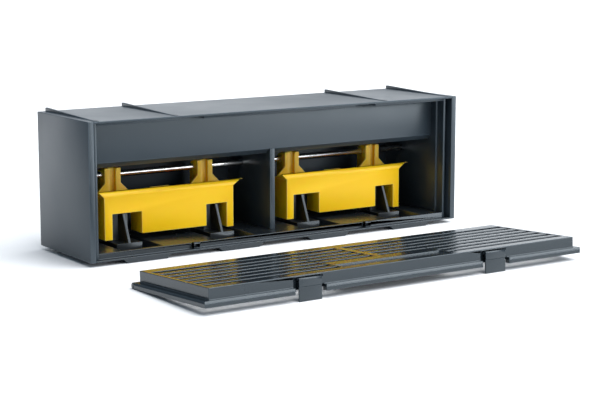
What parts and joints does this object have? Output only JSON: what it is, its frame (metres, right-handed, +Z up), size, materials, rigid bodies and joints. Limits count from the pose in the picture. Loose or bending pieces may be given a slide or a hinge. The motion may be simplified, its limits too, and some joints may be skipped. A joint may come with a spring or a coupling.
{
  "type": "bait station",
  "caption": "Low two-bay bait station with hanging bait trays on a steel rod and a slotted front cover laid in front of it, which hooks into the sill and clips shut.",
  "frame": {"origin": "on the resting plane, at the middle of the housing's underside", "axes": "+X along the housing to its right end seen from the open front, +Y to its back, +Z up"},
  "size_m": [0.3353, 0.2529, 0.1056],
  "materials": {
    "housing_plastic": "satin moulded",
    "floor_plastic": "satin moulded",
    "cover_plastic": "semi-gloss moulded",
    "stand_plastic": "moulded",
    "tray_plastic": "satin moulded, slightly translucent",
    "rod_steel": "polished"
  },
  "bodies": {
    "housing": {"floor_pan": "floor_plastic", "back_panel": "housing_plastic", "roof_panel": "housing_plastic", "end_plate_left": "housing_plastic", "end_plate_right": "housing_plastic", "inner_wall_left": "housing_plastic", "inner_wall_right": "housing_plastic", "fascia": "housing_plastic", "divider": "housing_plastic", "tray_rod": "rod_steel", "rod_collar_left": "stand_plastic", "rod_collar_right": "stand_plastic", "stand_1": "stand_plastic", "stand_2": "stand_plastic", "stand_3": "stand_plastic", "stand_4": "stand_plastic"},
    "tray_left": {"bait_tray_left": "tray_plastic"},
    "tray_right": {"bait_tray_right": "tray_plastic"},
    "hinge_pins": {"cover_pins": "rod_steel"},
    "cover": {"cover_grille": "cover_plastic"},
    "clip_left": {"cover_clip_left": "cover_plastic"},
    "clip_right": {"cover_clip_right": "cover_plastic"}
  },
  "joints": [
    {"name": "tray_left_tilt", "type": "hinge", "parent": "housing", "child": "tray_left", "pos_m": [-0.0795, 0.0185, 0.0555], "axis": [-1, 0, 0], "range_deg": [0, 22]},
    {"name": "tray_right_tilt", "type": "hinge", "parent": "housing", "child": "tray_right", "pos_m": [0.0795, 0.0185, 0.0555], "axis": [-1, 0, 0], "range_deg": [0, 22]},
    {"name": "cover_carry", "type": "slide", "parent": "housing", "child": "hinge_pins", "axis": [0.1859, 0.9809, 0.0578], "range_m": [0, 0.07962]},
    {"name": "cover_hinge", "type": "hinge", "parent": "hinge_pins", "child": "cover", "pos_m": [-0.0148, -0.1172, 0.0022], "axis": [-1, 0, 0], "range_deg": [0, 86.89]},
    {"name": "clip_left_press", "type": "hinge", "parent": "cover", "child": "clip_left", "pos_m": [-0.0923, -0.20707, 0.01449], "axis": [1, 0, 0], "range_deg": [0, 8], "stiffness_Nm_per_rad": 0.1},
    {"name": "clip_right_press", "type": "hinge", "parent": "cover", "child": "clip_right", "pos_m": [0.0627, -0.20707, 0.01449], "axis": [1, 0, 0], "range_deg": [0, 8], "stiffness_Nm_per_rad": 0.1}
  ]
}
